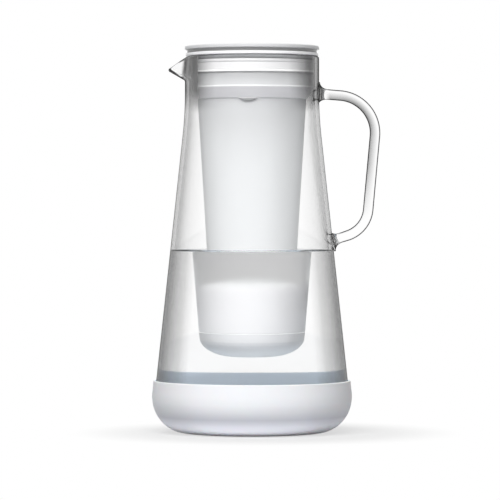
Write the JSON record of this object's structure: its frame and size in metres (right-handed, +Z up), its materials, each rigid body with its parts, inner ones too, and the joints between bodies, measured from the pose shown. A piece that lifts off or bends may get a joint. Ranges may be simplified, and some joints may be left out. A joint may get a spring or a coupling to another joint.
{
  "type": "water filter pitcher",
  "caption": "Tapered glass water pitcher with a rod handle, spout, silicone boot, lift-out filter hopper, pull-off carbon filter and a lid with a hinged filling door.",
  "frame": {"origin": "centre of the boot's flat underside, on the jug's axis, on the table", "axes": "+Z up along the jug's axis, -X towards the spout, +X towards the handle, -Y the side seen from the front"},
  "size_m": [0.1574, 0.138, 0.2665],
  "materials": {
    "clear_glass": "clear polished borosilicate glass",
    "boot_silicone": "matt white silicone",
    "hopper_ring_plastic": "satin translucent white plastic",
    "frosted_plastic": "frosted translucent white plastic",
    "gasket_silicone": "satin white silicone",
    "seal_rubber": "dark sealing rubber",
    "cartridge_plastic": "satin opaque white plastic",
    "potting_resin": "cast amber-white resin",
    "fibre": "porous white fibre",
    "cup_plastic": "satin opaque white plastic",
    "carbon_granules": "black activated carbon granules",
    "resin_beads": "amber ion exchange beads",
    "fleece": "white filter fleece",
    "lid_plastic": "satin light grey plastic",
    "pin_steel": "stainless steel"
  },
  "bodies": {
    "jug": {"glass_jug": "clear_glass", "glass_handle": "clear_glass", "base_boot": "boot_silicone"},
    "hopper": {"hopper_ring": "hopper_ring_plastic", "hopper_cone": "frosted_plastic", "neck_gasket": "gasket_silicone", "ring_seal": "seal_rubber", "membrane_housing": "cartridge_plastic", "membrane_base": "cartridge_plastic", "potting_plug": "potting_resin", "hollow_fibres": "fibre", "membrane_seal": "seal_rubber"},
    "carbon_filter": {"carbon_cup": "cup_plastic", "carbon_cap": "cup_plastic", "carbon_bed": "carbon_granules", "ion_resin_bed": "resin_beads", "inlet_fleece": "fleece", "outlet_fleece": "fleece", "cap_seal": "seal_rubber"},
    "lid": {"lid_cover": "lid_plastic", "lid_gasket": "gasket_silicone", "hinge_pins": "pin_steel"},
    "door": {"filling_door": "lid_plastic", "door_gasket": "gasket_silicone"}
  },
  "joints": [
    {"name": "hopper_lift", "type": "slide", "parent": "jug", "child": "hopper", "axis": [0, 0, 1], "range_m": [0, 0.215]},
    {"name": "carbon_pull", "type": "slide", "parent": "hopper", "child": "carbon_filter", "axis": [0, 0, -1], "range_m": [0, 0.025]},
    {"name": "lid_lift", "type": "slide", "parent": "hopper", "child": "lid", "axis": [0, 0, 1], "range_m": [0, 0.03]},
    {"name": "door_hinge", "type": "hinge", "parent": "lid", "child": "door", "pos_m": [0.02, 0, 0.2643], "axis": [0, 1, 0], "range_deg": [0, 100]}
  ]
}
